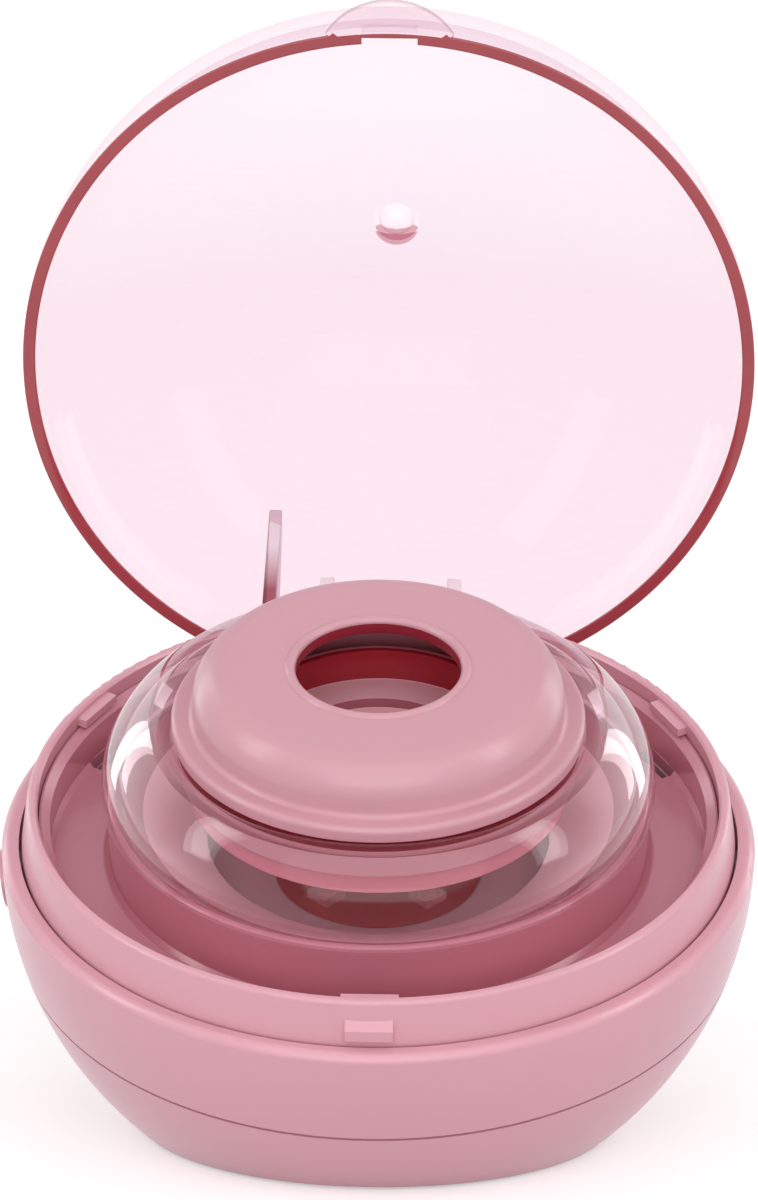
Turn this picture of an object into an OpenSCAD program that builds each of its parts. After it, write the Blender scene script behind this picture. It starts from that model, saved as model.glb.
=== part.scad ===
// Pocket pacifier sterilizer case: a ball cut flat at the foot and cut open along a tilted plane.
// Millimetres, +Z up. The origin is the centre of the foot face, and the front is -Y.
// Pieces above the foot are drawn in the bowl's own frame: its Z runs along the tilted axis,
// and its zero is the bowl's lip, which lies through the centre of the ball.

/* [Ball] */
// Outer radius of the ball-shaped housing
ball_r = 47.8; // [46:0.1:50]
// Height of the ball's centre above the table
ball_h = 37.7; // [36.5:0.1:39]
// Forward tilt of the opening, in degrees
tilt = 20; // [18:0.5:21]
// Wall of the housing shells
shell_t = 2.2; // [2:0.1:2.4]
// Depth of the parting line below the lip
part_depth = 14; // [13.8:0.1:15]
// Rounding of the lip's outer edge
lip_round = 1.2; // [0.8:0.1:1.4]
// Width of the groove that marks the parting line
part_groove = 0.4; // [0.2:0.1:0.6]
// Depth of the ledge that the collar and the tray stand on, below the lip
ledge_depth = 3; // [2.9:0.1:3.1]
// Thickness of that ledge
ledge_t = 1.4; // [1:0.1:1.6]

/* [Foot] */
// Radius of the anti-slip foot disc
pad_r = 28.4; // [28.2:0.1:29]
// Thickness of the anti-slip foot disc
pad_t = 1.2; // [1:0.1:1.4]
// How far the foot disc stands below the housing
pad_proud = 0.4; // [0.3:0.1:0.6]
// Thickness of the housing's floor
floor_t = 2.2; // [2:0.1:2.4]

/* [Collar] */
// Height of the collar above the lip
collar_h = 6; // [5.4:0.1:6.4]
// Width of the collar's top edge
collar_t = 1.4; // [1.2:0.1:1.6]
// How much the collar's outside narrows from its foot to its top
collar_taper = 0.7; // [0.4:0.1:1]
// Gap between the collar's foot and the lip
collar_gap = 0.35; // [0.3:0.05:0.5]
// Length of each of the three hooks that hold the tray
hook_len = 7.2; // [6:0.1:8]
// Width of the catch at the front
catch_w = 6; // [5:0.1:6.4]
// How far the catch stands out of the collar's foot
catch_out = 0.6; // [0.4:0.1:0.7]

/* [Tray] */
// Height of the tray's rim above the lip
tray_rim_h = 3.4; // [3:0.1:3.6]
// Wall of the tray
tray_t = 1.3; // [1.1:0.1:1.5]
// Radius of the raised ring that carries the clear dome
pedestal_r = 34.2; // [33.8:0.1:34.6]
// Height of the raised ring above the lip
pedestal_h = 6.9; // [6.5:0.1:7.2]
// Radius of the lamp opening at the foot of the funnel
lamp_r = 21.7; // [21:0.1:22]
// Height of the lamp opening above the lip
lamp_h = 0.4; // [0.2:0.1:0.8]

/* [Lamp] */
// Thickness of the lamp glass
glass_t = 1.4; // [1:0.1:1.6]
// Thickness of the seal above the glass
seal_t = 0.6; // [0.4:0.1:0.8]
// Depth of the reflector below the glass
reflector_depth = 1.9; // [1.6:0.1:2.2]
// Thickness of the LED board
led_board_t = 1.2; // [1:0.1:1.6]
// Number of ultraviolet LEDs
led_count = 4; // [3:1:6]

/* [Holder] */
// Height of the clear dome's widest ring above the lip
dome_wide_h = 8.4; // [8.2:0.1:8.8]
// Radius of the dome's widest ring
dome_r = 35.1; // [34.9:0.1:35.4]
// Radius of the bulge of the dome
dome_bulge_r = 11.3; // [11:0.1:11.6]
// Wall of the clear dome
dome_t = 1.5; // [1.3:0.1:1.7]
// Radius of the crease round the dome's mouth
crease_r = 28.8; // [28.5:0.1:29]
// Height of the seat for the cap above the lip
seat_h = 17; // [16.8:0.1:17.2]
// Radius of the dome's mouth
mouth_r = 25.4; // [25.2:0.1:25.5]

/* [Cap] */
// Height of the cap's top above the lip
cap_h = 26; // [25.5:0.1:26.5]
// Radius of the cap's shoulder
shoulder_r = 23.4; // [23:0.1:23.6]
// Rounding of the cap's shoulder
shoulder_round = 4.6; // [4:0.1:5]
// Radius of the cap's flange
flange_r = 26.1; // [26:0.1:26.4]
// Thickness of the cap's flange
flange_t = 2; // [1.8:0.1:2.2]
// Radius of the teat hole
hole_r = 10.4; // [10:0.1:11]
// Wall of the cap
cap_t = 1.9; // [1.6:0.1:2]
// Height of the skirt's lower edge above the lip
skirt_h = 11.2; // [10.8:0.1:11.6]
// Clearance between the cap's skirt and the dome's mouth
skirt_gap = 0.3; // [0.2:0.05:0.4]
// Height of the teat cup's lower edge above the lip
cup_foot_h = 8.2; // [8:0.1:8.6]
// Inner radius of the teat cup
cup_r = 16.3; // [15.8:0.1:16.8]
// Height of the ledge in the teat cup above the lip
cup_ledge_h = 13.4; // [13:0.1:13.6]
// Radius of the hole in that ledge
cup_hole_r = 12; // [11.5:0.1:12.5]

/* [Lid] */
// Wall of the lid
lid_t = 1.6; // [1.4:0.1:1.8]
// Outer depth of the lid, from its rim to its pole
lid_depth = 44.3; // [43.5:0.1:45]
// Radius of the lid's side curve
lid_side_r = 38; // [37:0.5:39]
// Radial gap between the lid's rim and the collar's foot
lid_gap = 0.35; // [0.3:0.05:0.45]
// Gap between the lid's rim and the lip when the lid is closed
lid_seat_gap = 0.15; // [0.1:0.05:0.3]
// How far the finger tab stands out of the rim
tab_out = 4; // [3:0.1:5]
// Width of the finger tab where it leaves the rim
tab_w = 16.3; // [14:0.1:18]
// Thickness of the finger tab
tab_t = 1.8; // [1.4:0.1:2.2]
// Width of the notch that takes the catch
notch_w = 7.1; // [6.8:0.1:8]
// Radius of the moulded dimple at the lid's pole
dimple_r = 2.75; // [2.2:0.05:3]

/* [Hinge] */
// Distance of the hinge pin inside the ball's surface
hinge_inset = 4.8; // [4.6:0.1:5]
// Depth of the hinge pin below the lip
hinge_drop = 3.7; // [3.6:0.1:3.8]
// Angle to which the lid opens
lid_open = 95.6; // [90:0.1:96]
// Radius of the hinge pin
pin_r = 1; // [0.8:0.05:1.1]
// Running clearance of the lid's ears on the pin
pin_gap = 0.05; // [0.03:0.01:0.08]
// Outer radius of the lid's hinge ears
ear_r = 3; // [2.8:0.1:3.1]
// Thickness of each ear
ear_t = 1.9; // [1.6:0.1:2.1]
// Distance of each ear from the middle
ear_x = 8.4; // [8:0.1:9]
// Half the width of the hinge bay
bay_x = 17.2; // [17:0.1:17.6]
// Wall of the hinge bay
bay_t = 1.2; // [1:0.1:1.3]
// Side clearance of the moving pieces in the hinge bay
bay_gap = 0.3; // [0.25:0.05:0.4]
// Distance of the interlock tongue to the left of the middle
tongue_x = 15.4; // [15.2:0.1:15.5]
// Thickness of the interlock tongue
tongue_t = 1.7; // [1.4:0.1:1.8]

/* [Power button] */
// Radius of the button
button_r = 3.7; // [3.4:0.05:3.75]
// Depth of the button's centre below the lip
button_drop = 7; // [7:0.1:7.3]
// How far the button stands out of the ball
button_proud = 0.5; // [0.3:0.1:0.8]
// Travel of the button
button_travel = 0.6; // [0.4:0.1:0.7]
// Radial clearance of the button in its hole
button_gap = 0.2; // [0.15:0.05:0.25]

/* [Vents] */
// Radius of each vent hole
vent_r = 1; // [0.8:0.05:1.1]
// Pitch of the vent holes in a row
vent_pitch = 4.2; // [3.8:0.1:4.4]
// Depth of the upper row of vent holes below the lip
vent_drop = 7.6; // [7.4:0.1:7.8]

/* [Electronics] */
// Thickness of the circuit boards
board_t = 1.6; // [1.2:0.1:1.8]
// Width of the battery
battery_w = 26; // [22:0.5:27]
// Length of the battery
battery_l = 34; // [30:0.5:34]
// Thickness of the battery
battery_t = 6; // [5:0.1:6.4]
// Thickness of the foam under the battery
foam_t = 1; // [0.5:0.1:1.2]
// Height of the main board's lower face above the table
board_h = 14.6; // [14.4:0.1:15]
// Clear depth of the charging socket's shell
usb_l = 7.3; // [6.5:0.1:7.5]

/* [Hidden] */

$fn = 96;
eps = 0.01;
far = 120;

pink = [0.80, 0.60, 0.645];
pink_dark = [0.70, 0.48, 0.53];
clear_pink = [0.96, 0.80, 0.86, 0.35];
clear = [0.97, 0.93, 0.95, 0.3];
steel = [0.72, 0.73, 0.75];
board_green = [0.10, 0.33, 0.22];
near_black = [0.12, 0.12, 0.13];

// Bowl and ledge
bowl_in_r = ball_r - shell_t;
ledge_z = -ledge_depth;
shell_floor_z = pad_proud;
cavity_floor_z = shell_floor_z + floor_t;
slip = 0.1;            // clearance between pieces that are put together once
touch = 0.1;           // gap under pieces that lift off

// Collar
collar_foot_r = bowl_in_r - collar_gap;
collar_top_r = collar_foot_r - collar_taper;
collar_in_r = collar_top_r - collar_t;
collar_round = 0.6;
leg_w = 6;
leg_t = 1.2;
leg_angles = [35, 145, 215, 325];
barb_out = 0.7;

// Tray
tray_out_r = collar_in_r - 0.15;
moat_r = tray_out_r - tray_t - 0.1;
moat_floor_z = ledge_z + tray_t;
well_in_r = lamp_r + 1.2;
well_out_r = well_in_r + tray_t;
well_foot_z = lamp_h - tray_t - seal_t - glass_t - reflector_depth - led_board_t;
rim_ledge_w = 0.9;
rim_ledge_depth = 0.9;
carrier_screw_r = well_out_r + 1.3;
carrier_angles = [45, 135, 225, 315];
post_r = 2.4;
post_joint_z = 12;
post_spots = [[26, 2.5], [-26, 2.5], [0, -25.5]];
hook_angles = [-90, 30, 150];
case_thread_r = 1;

// Lid
lid_in_r = collar_foot_r + lid_gap;
lid_out_r = lid_in_r + lid_t;
hinge_y = ball_r - hinge_inset;
dimple_rise = 1.6;     // height of the dimple's centre above the pole
ear_top_z = 0.41 * lid_depth;
tongue_top_z = 0.52 * lid_depth;
notch_h = 4.4;
notch_depth = 0.8;
hinge_z = -hinge_drop;

// Hinge bay
bay_front_y = hinge_y - ear_r - 0.7;
bay_floor_z = hinge_z - 4.9;
bay_out_x = bay_x + bay_t;
lug_r = 2.6;
lug_x = ear_x + ear_t / 2 + bay_gap;
lug_t = 1.4;
pin_half = lug_x + lug_t;
tongue_in_y = hinge_y - 10.4;
tongue_out_y = hinge_y - 5.4;
tongue_foot_z = ledge_z;

// Lamp stack, from the tray's lip down
seal_top_z = lamp_h - tray_t;
glass_top_z = seal_top_z - seal_t;
reflector_top_z = glass_top_z - glass_t;
led_board_top_z = reflector_top_z - reflector_depth;
carrier_t = 1.4;
lamp_part_r = well_in_r - 0.15;
led_circle_r = 9;

// Power button and its switch, along X at the left
button_z = -button_drop;
button_flange_x = -(bowl_in_r - 2.1);
button_flange_t = 1.2;
button_stem_x = button_flange_x + button_flange_t + 1.4;
tact_top_x = button_stem_x + button_travel + 0.1;
tact_body_t = 3.3;
switch_board_x = tact_top_x + 0.3 + tact_body_t;
switch_board_t = 1.2;

// Buzzer behind the vents, along X at the right
buzzer_r = 4;
buzzer_t = 4.4;
buzzer_z = -9.4;
buzzer_x = bowl_in_r - 5.2;

// Main board and its standoffs
board_r = sqrt(bowl_in_r * bowl_in_r - (ball_h - board_h) * (ball_h - board_h)) - 1.1;
standoff_spots = [[17, -13], [-17, -13], [17, 24], [-17, 24]];
standoff_r = 2.1;
usb_w = 9;
usb_t = 3.2;
usb_z = board_h + board_t + usb_t / 2;
usb_mouth_y = sqrt(ball_r * ball_r - (ball_h - usb_z) * (ball_h - usb_z)) - 2.88;

// Lid interlock switch under the moat
lid_switch_y = (tongue_in_y + tongue_out_y) / 2;
lid_switch_w = 4.2;

// Puts children from the bowl's tilted frame into the table frame.
module in_bowl() {
    translate([0, 0, ball_h])
        rotate([tilt, 0, 0])
            children();
}

// Puts children from the closed lid into the open pose.
module opened() {
    translate([0, hinge_y, hinge_z])
        rotate([-lid_open, 0, 0])
            translate([0, -hinge_y, -hinge_z])
                children();
}

// Cylinder between two radii and two heights.
module ring(r_out, r_in, z_low, z_high) {
    translate([0, 0, z_low])
        difference() {
            cylinder(h = z_high - z_low, r = r_out);
            translate([0, 0, -1])
                cylinder(h = z_high - z_low + 2, r = r_in);
        }
}

// Box from its lowest to its highest corner.
module span(low, high) {
    translate(low)
        cube(high - low);
}

// Half of a flattened dome, radius r and depth d, with side arcs of radius a: two tangent arcs.
module oval_half(r, d, a) {
    top_r = ((r - a) * (r - a) + d * d - a * a) / (2 * (d - a));
    reach = [r - a, top_r - d] * 4 * r / (top_r - a);
    joint = [r - a, 0] + reach;
    intersection() {
        translate([0, d - top_r])
            circle(r = top_r, $fn = 360);
        polygon([[0, 0], [r - a, 0], joint, [0, joint[1]]]);
    }
    intersection() {
        translate([r - a, 0])
            circle(r = a, $fn = 240);
        polygon([[r - a, 0], [joint[0], 0], joint]);
    }
}

module oval_dome(r, d, a) {
    rotate_extrude($fn = 180)
        union()
            oval_half(r, d, a);
}

// Pan-head screw: head under z = 0, thread above it.
module screw(head_r, head_t, thread_r, length) {
    translate([0, 0, -head_t])
        cylinder(h = head_t, r = head_r, $fn = 32);
    translate([0, 0, -eps])
        cylinder(h = length + eps, r = thread_r, $fn = 32);
}

// Half section of the ball from the parting plane to the rounded lip.
module bowl_half() {
    intersection() {
        circle(r = ball_r, $fn = 360);
        union() {
            translate([0, -part_depth])
                square([ball_r - lip_round, part_depth]);
            translate([ball_r - lip_round - eps, -part_depth])
                square([lip_round + 1, part_depth - lip_round]);
            translate([ball_r - lip_round, -lip_round])
                circle(r = lip_round, $fn = 64);
        }
    }
}

// The ball between the parting plane and the lip, hollow.
module bowl_wall() {
    difference() {
        rotate_extrude($fn = 180)
            difference() {
                bowl_half();
                circle(r = bowl_in_r, $fn = 360);
            }
        // half of the parting groove
        rotate_extrude($fn = 180)
            polygon([[ball_r - 3, -part_depth - eps], [ball_r + 1, -part_depth - eps],
                     [ball_r + 1, -part_depth + part_groove / 2],
                     [sqrt(ball_r * ball_r - part_depth * part_depth) - 0.5, -part_depth + part_groove / 2],
                     [sqrt(ball_r * ball_r - part_depth * part_depth) - 0.5, -part_depth - eps]]);
    }
}

module bay_volume(grow) {
    span([-bay_out_x - grow, bay_front_y - bay_t - grow, bay_floor_z - bay_t - grow],
         [bay_out_x + grow, far, far]);
}

// Cuts of one size through the ledge for the collar's legs.
module leg_slots(grow) {
    for (a = leg_angles)
        rotate([0, 0, a])
            span([collar_in_r - grow, -leg_w / 2 - grow, ledge_z - ledge_t - 1],
                 [collar_in_r + leg_t + barb_out + grow, leg_w / 2 + grow, ledge_z + 1]);
}

module bowl_shell() {
    color(pink) in_bowl()
        difference() {
            union() {
                bowl_wall();
                // ledge for the collar and the tray
                intersection() {
                    sphere(r = bowl_in_r + shell_t / 2, $fn = 180);
                    ring(ball_r, moat_r - 0.2, ledge_z - ledge_t, ledge_z);
                }
                // two ribs that carry the button's switch board
                for (side = [-1, 1])
                    intersection() {
                        sphere(r = bowl_in_r + shell_t / 2, $fn = 180);
                        span([-ball_r, side * 6.2 - 0.6, -part_depth + 0.6],
                             [switch_board_x - switch_board_t, side * 6.2 + 0.6, ledge_z - 0.5]);
                    }
                // socket ring of the buzzer
                intersection() {
                    sphere(r = bowl_in_r + shell_t / 2, $fn = 180);
                    translate([buzzer_x, 0, buzzer_z])
                        rotate([0, 90, 0])
                            cylinder(h = ball_r - buzzer_x, r = buzzer_r + 0.9);
                    span([0, -far, -part_depth], [far, far, ledge_z]);
                }
            }
            // inside of the buzzer's socket
            translate([buzzer_x - 1, 0, buzzer_z])
                rotate([0, 90, 0])
                    cylinder(h = buzzer_t + 1.1, r = buzzer_r + slip / 2);
            // button bore, and room for its flange in the ledge
            translate([-ball_r - 1, 0, button_z])
                rotate([0, 90, 0])
                    cylinder(h = shell_t + 3.6, r = button_r + button_gap);
            span([-bowl_in_r + 0.9, -5.4, ledge_z - ledge_t - 1], [0, 5.4, ledge_z + 1]);
            // two staggered rows of vent holes
            for (row = [0, 1], k = [0 : 3 + row])
                translate([bowl_in_r - 4, (k - (3 + row) / 2) * vent_pitch,
                           -vent_drop - row * vent_pitch * sqrt(3) / 2])
                    rotate([0, 90, 0])
                        cylinder(h = 8, r = vent_r, $fn = 32);
            leg_slots(slip);
            bay_volume(slip / 2);
        }
}

// A vertical tower of the bottom shell, trimmed by the ball.
module tower(spot, r, top_z) {
    intersection() {
        translate([spot[0], spot[1], shell_floor_z + 0.5])
            cylinder(h = top_z - shell_floor_z - 0.5, r = r, $fn = 48);
        translate([0, 0, ball_h])
            sphere(r = bowl_in_r + shell_t / 2, $fn = 180);
    }
}

module battery_walls() {
    wall = 1;
    room = 0.2;
    difference() {
        span([-battery_w / 2 - room - wall, -battery_l / 2 + 3 - room - wall, cavity_floor_z - 0.5],
             [battery_w / 2 + room + wall, battery_l / 2 + 3 + room + wall, cavity_floor_z + foam_t + 3]);
        span([-battery_w / 2 - room, -battery_l / 2 + 3 - room, cavity_floor_z - 1],
             [battery_w / 2 + room, battery_l / 2 + 3 + room, far]);
        span([-battery_w / 4, -far, cavity_floor_z - 1], [battery_w / 4, far, far]);
    }
}

module usb_mouth(grow, y_low, y_high) {
    translate([0, y_high, usb_z])
        rotate([90, 0, 0])
            linear_extrude(y_high - y_low)
                for (side = [-1, 1])
                    union() {
                        translate([side * (usb_w - usb_t) / 2, 0])
                            circle(r = usb_t / 2 + grow, $fn = 48);
                        square([usb_w - usb_t, usb_t + 2 * grow], center = true);
                    }
}

module bottom_shell() {
    groove_r = sqrt(ball_r * ball_r - part_depth * part_depth) - 0.5;
    color(pink)
        difference() {
            union() {
                difference() {
                    intersection() {
                        translate([0, 0, ball_h])
                            sphere(r = ball_r, $fn = 180);
                        span([-far, -far, shell_floor_z], [far, far, far]);
                        in_bowl()
                            span([-far, -far, -far], [far, far, -part_depth]);
                    }
                    intersection() {
                        translate([0, 0, ball_h])
                            sphere(r = bowl_in_r, $fn = 180);
                        span([-far, -far, cavity_floor_z], [far, far, far]);
                    }
                }
                intersection() {
                    union() {
                        for (spot = post_spots)
                            tower(spot, post_r, post_joint_z);
                        for (spot = standoff_spots)
                            tower(spot, standoff_r, board_h);
                        battery_walls();
                    }
                    translate([0, 0, ball_h])
                        sphere(r = bowl_in_r + shell_t / 2, $fn = 180);
                    in_bowl()
                        span([-far, -far, -far], [far, far, -part_depth - 0.3]);
                }
            }
            // half of the parting groove
            in_bowl()
                rotate_extrude($fn = 180)
                    polygon([[groove_r, -part_depth + eps], [ball_r + 1, -part_depth + eps],
                             [ball_r + 1, -part_depth - part_groove / 2],
                             [groove_r, -part_depth - part_groove / 2]]);
            // recess of the foot disc
            translate([0, 0, -1])
                cylinder(h = 1 + pad_t, r = pad_r + slip / 2, $fn = 180);
            // screw holes under the foot disc
            for (spot = post_spots)
                translate([spot[0], spot[1], 0]) {
                    cylinder(h = post_joint_z + 1, r = case_thread_r + 0.15, $fn = 32);
                    cylinder(h = pad_t + 1.3, r = 1.95, $fn = 48);
                }
            for (spot = standoff_spots)
                translate([spot[0], spot[1], board_h - 6])
                    cylinder(h = 7, r = 0.75, $fn = 32);
            usb_mouth(0.25, usb_mouth_y - usb_l - 3, far);
        }
}

module foot_pad() {
    color(pink_dark)
        cylinder(h = pad_t, r = pad_r, $fn = 180);
}

module case_screws() {
    color(steel)
        for (spot = post_spots)
            translate([spot[0], spot[1], pad_t + 1.3])
                screw(1.8, 1.2, case_thread_r, post_joint_z - pad_t - 1.3 + 5);
}

module collar_ring() {
    foot_top = 1;
    color(pink) in_bowl()
        difference() {
            union() {
                rotate_extrude($fn = 180)
                    union() {
                        polygon([[collar_in_r, ledge_z], [collar_foot_r, ledge_z],
                                 [collar_foot_r, 0], [collar_top_r, collar_h - collar_round],
                                 [collar_top_r - collar_round, collar_h - collar_round],
                                 [collar_top_r - collar_round, collar_h],
                                 [collar_in_r + 0.3, collar_h], [collar_in_r, collar_h - 0.3]]);
                        translate([collar_top_r - collar_round, collar_h - collar_round])
                            circle(r = collar_round, $fn = 48);
                    }
                // hooks over the tray's rim
                for (a = hook_angles)
                    rotate([0, 0, a])
                        span([collar_in_r - 1.5, -hook_len / 2, tray_rim_h + 0.8],
                             [collar_in_r + 0.4, hook_len / 2, collar_h - 0.7]);
                // catch for the lid
                rotate([90, 0, 90])
                    translate([0, 0, -catch_w / 2])
                        linear_extrude(catch_w)
                            polygon([[-collar_top_r + 0.3, 3.9], [-collar_foot_r - catch_out, 2.5],
                                     [-collar_foot_r - catch_out, foot_top],
                                     [-collar_foot_r + 0.5, foot_top - 0.4]]);
                // snap legs through the ledge
                for (a = leg_angles)
                    rotate([0, 0, a])
                        rotate([90, 0, 0])
                            translate([0, 0, -leg_w / 2])
                                linear_extrude(leg_w)
                                    polygon([[collar_in_r, ledge_z + eps],
                                             [collar_in_r + leg_t, ledge_z + eps],
                                             [collar_in_r + leg_t, ledge_z - ledge_t - slip],
                                             [collar_in_r + leg_t + barb_out - 0.2, ledge_z - ledge_t - slip],
                                             [collar_in_r + leg_t, ledge_z - ledge_t - 1.4],
                                             [collar_in_r, ledge_z - ledge_t - 1.4]]);
            }
            span([-bay_out_x - slip, 0, -far], [bay_out_x + slip, far, far]);
        }
}

// A post of the tray, straight down to meet a tower of the bottom shell.
module post(spot) {
    translate([spot[0], spot[1], post_joint_z + slip / 2])
        cylinder(h = ball_h + spot[1] * tan(tilt) + 4 - post_joint_z, r = post_r, $fn = 48);
}

module inner_tray() {
    funnel_top_r = pedestal_r - 0.8 - rim_ledge_w;
    funnel_top_z = pedestal_h - rim_ledge_depth;
    color(pink)
        difference() {
            union() {
                in_bowl()
                    rotate_extrude($fn = 180)
                        polygon([
                            [tray_out_r, ledge_z], [tray_out_r, tray_rim_h + 0.5],
                            [tray_out_r - 0.3, tray_rim_h + 0.6], [moat_r, tray_rim_h - 0.2],
                            [moat_r, moat_floor_z + 0.6], [moat_r - 0.6, moat_floor_z],
                            [pedestal_r + 0.6, moat_floor_z], [pedestal_r, moat_floor_z + 0.6],
                            [pedestal_r, pedestal_h - 0.2], [pedestal_r - 0.2, pedestal_h],
                            [pedestal_r - 0.8, pedestal_h], [pedestal_r - 0.8, funnel_top_z],
                            [funnel_top_r, funnel_top_z], [lamp_r, lamp_h],
                            [lamp_r, lamp_h - tray_t], [well_in_r, lamp_h - tray_t],
                            [well_in_r, well_foot_z], [well_out_r, well_foot_z],
                            [well_out_r, lamp_h - tray_t], [funnel_top_r + 0.6, funnel_top_z - tray_t - 0.2],
                            [pedestal_r - tray_t, funnel_top_z - tray_t - 0.2],
                            [pedestal_r - tray_t, ledge_z]]);
                in_bowl()
                    for (a = carrier_angles)
                        rotate([0, 0, a])
                            translate([carrier_screw_r, 0, well_foot_z])
                                cylinder(h = lamp_h - well_foot_z, r = 1.9, $fn = 48);
                // posts for the case screws, up to the underside of the tray
                difference() {
                    for (spot = post_spots)
                        post(spot);
                    in_bowl()
                        cylinder(h = far, r = well_in_r + 0.6, center = true);
                    in_bowl()
                        span([-far, -far, 1.2], [far, far, far]);
                }
                // side walls of the lid switch's nest, inside the bowl's ledge
                in_bowl()
                    intersection() {
                        for (side = [-1, 1])
                            span([-tongue_x + side * (lid_switch_w / 2 + 0.6) - 0.5, tongue_in_y + 0.8,
                                  ledge_z - 6],
                                 [-tongue_x + side * (lid_switch_w / 2 + 0.6) + 0.5, tongue_out_y,
                                  ledge_z + eps]);
                        cylinder(h = far, r = moat_r - 0.4, center = true, $fn = 180);
                    }
            }
            for (spot = post_spots)
                translate([spot[0], spot[1], post_joint_z - 1])
                    cylinder(h = 8, r = case_thread_r, $fn = 32);
            in_bowl() {
                for (a = carrier_angles)
                    rotate([0, 0, a])
                        translate([carrier_screw_r, 0, well_foot_z - 1])
                            cylinder(h = 5.5, r = 0.75, $fn = 32);
                // slots under the collar's hooks
                for (a = hook_angles)
                    rotate([0, 0, a])
                        span([moat_r - 2, -hook_len / 2 + 0.3, ledge_z - 1],
                             [moat_r - 0.1, hook_len / 2 - 0.3, moat_floor_z + 1]);
                // slot for the interlock tongue
                span([-tongue_x - tongue_t / 2 - bay_gap, tongue_in_y - bay_gap, ledge_z - 1],
                     [-tongue_x + tongue_t / 2 + bay_gap, far, far]);
                bay_volume(slip / 2);
            }
        }
}

module hinge_bracket() {
    color(pink) in_bowl()
        difference() {
            union() {
                intersection() {
                    difference() {
                        bay_volume(0);
                        span([-bay_x, bay_front_y, bay_floor_z], [bay_x, far, far]);
                    }
                    union() {
                        rotate_extrude($fn = 180)
                            bowl_half();
                        cylinder(h = tray_rim_h, r = tray_out_r, $fn = 180);
                    }
                }
                // lugs that carry the pin, outside the lid's ears
                for (side = [-1, 1])
                    translate([side * (lug_x + lug_t / 2) - lug_t / 2, 0, 0])
                        rotate([90, 0, 90])
                            linear_extrude(lug_t)
                                union() {
                                    translate([hinge_y, hinge_z])
                                        circle(r = lug_r, $fn = 64);
                                    translate([hinge_y - lug_r, bay_floor_z - eps])
                                        square([2 * lug_r, -bay_floor_z + hinge_z + eps]);
                                }
            }
            translate([-far, hinge_y, hinge_z])
                rotate([0, 90, 0])
                    cylinder(h = 2 * far, r = pin_r, $fn = 64);
            span([-tongue_x - tongue_t / 2 - bay_gap, 0, ledge_z - 1.5],
                 [-tongue_x + tongue_t / 2 + bay_gap, bay_front_y + 1, far]);
        }
}

module hinge_pin() {
    color(steel) in_bowl()
        translate([-pin_half, hinge_y, hinge_z])
            rotate([0, 90, 0])
                cylinder(h = 2 * pin_half, r = pin_r, $fn = 64);
}

module lamp_seal() {
    color([0.85, 0.83, 0.84]) in_bowl()
        ring(lamp_part_r, lamp_r, glass_top_z, seal_top_z);
}

module lamp_glass() {
    color([0.45, 0.30, 0.34, 0.5]) in_bowl()
        translate([0, 0, reflector_top_z])
            cylinder(h = glass_t, r = lamp_part_r, $fn = 180);
}

module lamp_reflector() {
    color([0.85, 0.85, 0.87]) in_bowl()
        rotate_extrude($fn = 180)
            polygon([[led_circle_r + 4, led_board_top_z], [led_circle_r + 4.6, led_board_top_z],
                     [lamp_part_r, reflector_top_z - 0.6], [lamp_part_r, reflector_top_z],
                     [lamp_part_r - 0.9, reflector_top_z]]);
}

module uv_leds() {
    color([0.75, 0.72, 0.55]) in_bowl()
        for (k = [0 : led_count - 1])
            rotate([0, 0, 45 + k * 360 / led_count])
                translate([led_circle_r, 0, led_board_top_z]) {
                    span([-1.75, -1.75, 0], [1.75, 1.75, 1]);
                    translate([0, 0, 0.9])
                        cylinder(h = 0.5, r = 1.3, $fn = 48);
                }
}

module led_board() {
    color(board_green) in_bowl()
        translate([0, 0, well_foot_z])
            cylinder(h = led_board_t, r = lamp_part_r, $fn = 180);
}

module lamp_carrier() {
    color(pink_dark) in_bowl()
        difference() {
            union() {
                translate([0, 0, well_foot_z - carrier_t])
                    cylinder(h = carrier_t, r = well_in_r + 0.4, $fn = 180);
                for (a = carrier_angles)
                    rotate([0, 0, a]) {
                        translate([carrier_screw_r, 0, well_foot_z - carrier_t])
                            cylinder(h = carrier_t, r = 1.9, $fn = 48);
                        span([well_in_r - 2, -1.9, well_foot_z - carrier_t],
                             [carrier_screw_r, 1.9, well_foot_z]);
                    }
            }
            for (a = carrier_angles)
                rotate([0, 0, a])
                    translate([carrier_screw_r, 0, well_foot_z - carrier_t - 1])
                        cylinder(h = carrier_t + 2, r = 0.9, $fn = 32);
            translate([0, 0, well_foot_z - carrier_t - 1])
                cylinder(h = carrier_t + 2, r = 6, $fn = 64);
        }
}

module carrier_screws() {
    color(steel) in_bowl()
        for (a = carrier_angles)
            rotate([0, 0, a])
                translate([carrier_screw_r, 0, well_foot_z - carrier_t])
                    screw(1.5, 1, 0.75, 5);
}

module main_board() {
    color(board_green)
        difference() {
            union() {
                intersection() {
                    span([-20, -17, board_h], [20, board_r - 1.7, board_h + board_t]);
                    translate([0, 0, board_h - 1])
                        cylinder(h = board_t + 2, r = board_r, $fn = 180);
                }
                // controller, charger and coil on the board
                span([-8, -8, board_h + board_t - eps], [0, 0, board_h + board_t + 1.2]);
                span([6, 6, board_h + board_t - eps], [11, 10, board_h + board_t + 1]);
                translate([10, -6, board_h + board_t - eps])
                    cylinder(h = 2.6, r = 3, $fn = 48);
            }
            for (spot = standoff_spots)
                translate([spot[0], spot[1], board_h - 1])
                    cylinder(h = board_t + 2, r = 1, $fn = 32);
        }
}

module board_screws() {
    color(steel)
        for (spot = standoff_spots)
            translate([spot[0], spot[1], board_h + board_t])
                rotate([180, 0, 0])
                    screw(1.6, 1, 0.75, board_t + 4);
}

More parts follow.
